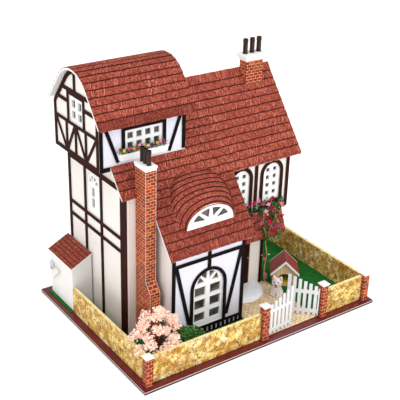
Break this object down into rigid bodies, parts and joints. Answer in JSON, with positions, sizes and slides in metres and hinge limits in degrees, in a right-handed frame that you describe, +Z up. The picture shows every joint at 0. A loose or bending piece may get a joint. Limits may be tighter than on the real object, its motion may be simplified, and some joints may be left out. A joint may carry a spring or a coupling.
{
  "type": "wooden dollhouse",
  "caption": "Half-timbered miniature wooden dollhouse with open back, steep shingled roofs, brick chimneys and a walled garden with a hinged picket gate.",
  "frame": {"origin": "centre of the base board's underside", "axes": "+X along the front edge of the board from the shed side to the garden side, +Y from the front to the open back, +Z up"},
  "size_m": [0.28, 0.205, 0.2603],
  "materials": {
    "maroon_lacquer": "gloss lacquer",
    "grass": "flocked green sheet",
    "paving": "printed herringbone paving",
    "stone_print": "fibreboard with printed stone paper",
    "brick_print": "fibreboard with printed brick paper",
    "white_paint": "white satin paint",
    "plaster_print": "fibreboard with cream paper",
    "plywood": "laser-cut plywood",
    "shingle_card": "embossed red-brown card",
    "dark_timber": "dark stained strip",
    "pale_planks": "pale planked wood",
    "white_resin": "matt white glaze",
    "blossom_foam": "pink scatter foam",
    "leaf_foam": "green scatter foam",
    "window_film": "clear film",
    "flower_foam": "pink and crimson scatter foam"
  },
  "bodies": {
    "house": {"base_board": "maroon_lacquer", "lawn": "grass", "path": "paving", "garden_wall_left": "stone_print", "garden_wall_front_left": "stone_print", "garden_wall_front_right": "stone_print", "garden_wall_right": "stone_print", "post_corner_left": "brick_print", "post_gate_left": "brick_print", "post_gate_right": "brick_print", "post_corner_right": "brick_print", "chimney_left": "brick_print", "chimney_right": "brick_print", "door_step": "white_paint", "shed_walls": "white_paint", "chimney_left_cap": "white_paint", "chimney_right_cap": "white_paint", "planter_box": "white_paint", "window_wing": "white_paint", "window_left_tall": "white_paint", "window_upper_left": "white_paint", "window_upper_right": "white_paint", "window_box_front": "white_paint", "window_box_left": "white_paint", "window_dormer": "white_paint", "wall_left": "plaster_print", "wall_front_left": "plaster_print", "wall_wing_front": "plaster_print", "wall_wing_right": "plaster_print", "wall_recess": "plaster_print", "wall_ground_right": "plaster_print", "wall_upper_front": "plaster_print", "wall_upper_right": "plaster_print", "box_wall_left": "plaster_print", "box_wall_front": "plaster_print", "box_wall_right": "plaster_print", "floor_first": "plywood", "floor_attic": "plywood", "stairs": "plywood", "box_floor": "plywood", "roof_front": "shingle_card", "roof_back": "shingle_card", "roof_barrel": "shingle_card", "roof_dormer": "shingle_card", "roof_porch": "shingle_card", "roof_shed": "shingle_card", "dog_house_roof": "shingle_card", "timber_wing_front": "dark_timber", "timber_left": "dark_timber", "timber_upper_front": "dark_timber", "timber_box_front": "dark_timber", "timber_box_left": "dark_timber", "dog_house": "pale_planks", "dog": "white_resin", "cherry_tree": "blossom_foam", "bush": "leaf_foam", "vine": "leaf_foam"},
    "gate_left": {"gate_leaf_left": "white_paint"},
    "gate_right": {"gate_leaf_right": "white_paint"},
    "front_door": {"front_door": "dark_timber"}
  },
  "joints": [
    {"name": "gate_left_hinge", "type": "hinge", "parent": "house", "child": "gate_left", "pos_m": [0.0049, -0.0945, 0.02], "axis": [0, 0, 1], "range_deg": [-6, 84]},
    {"name": "gate_right_hinge", "type": "hinge", "parent": "house", "child": "gate_right", "pos_m": [0.0692, -0.0945, 0.02], "axis": [0, 0, 1], "range_deg": [-45, 45]},
    {"name": "front_door_hinge", "type": "hinge", "parent": "house", "child": "front_door", "pos_m": [0.0165, -0.0083, 0.04], "axis": [0, 0, 1], "range_deg": [0, 95]}
  ]
}
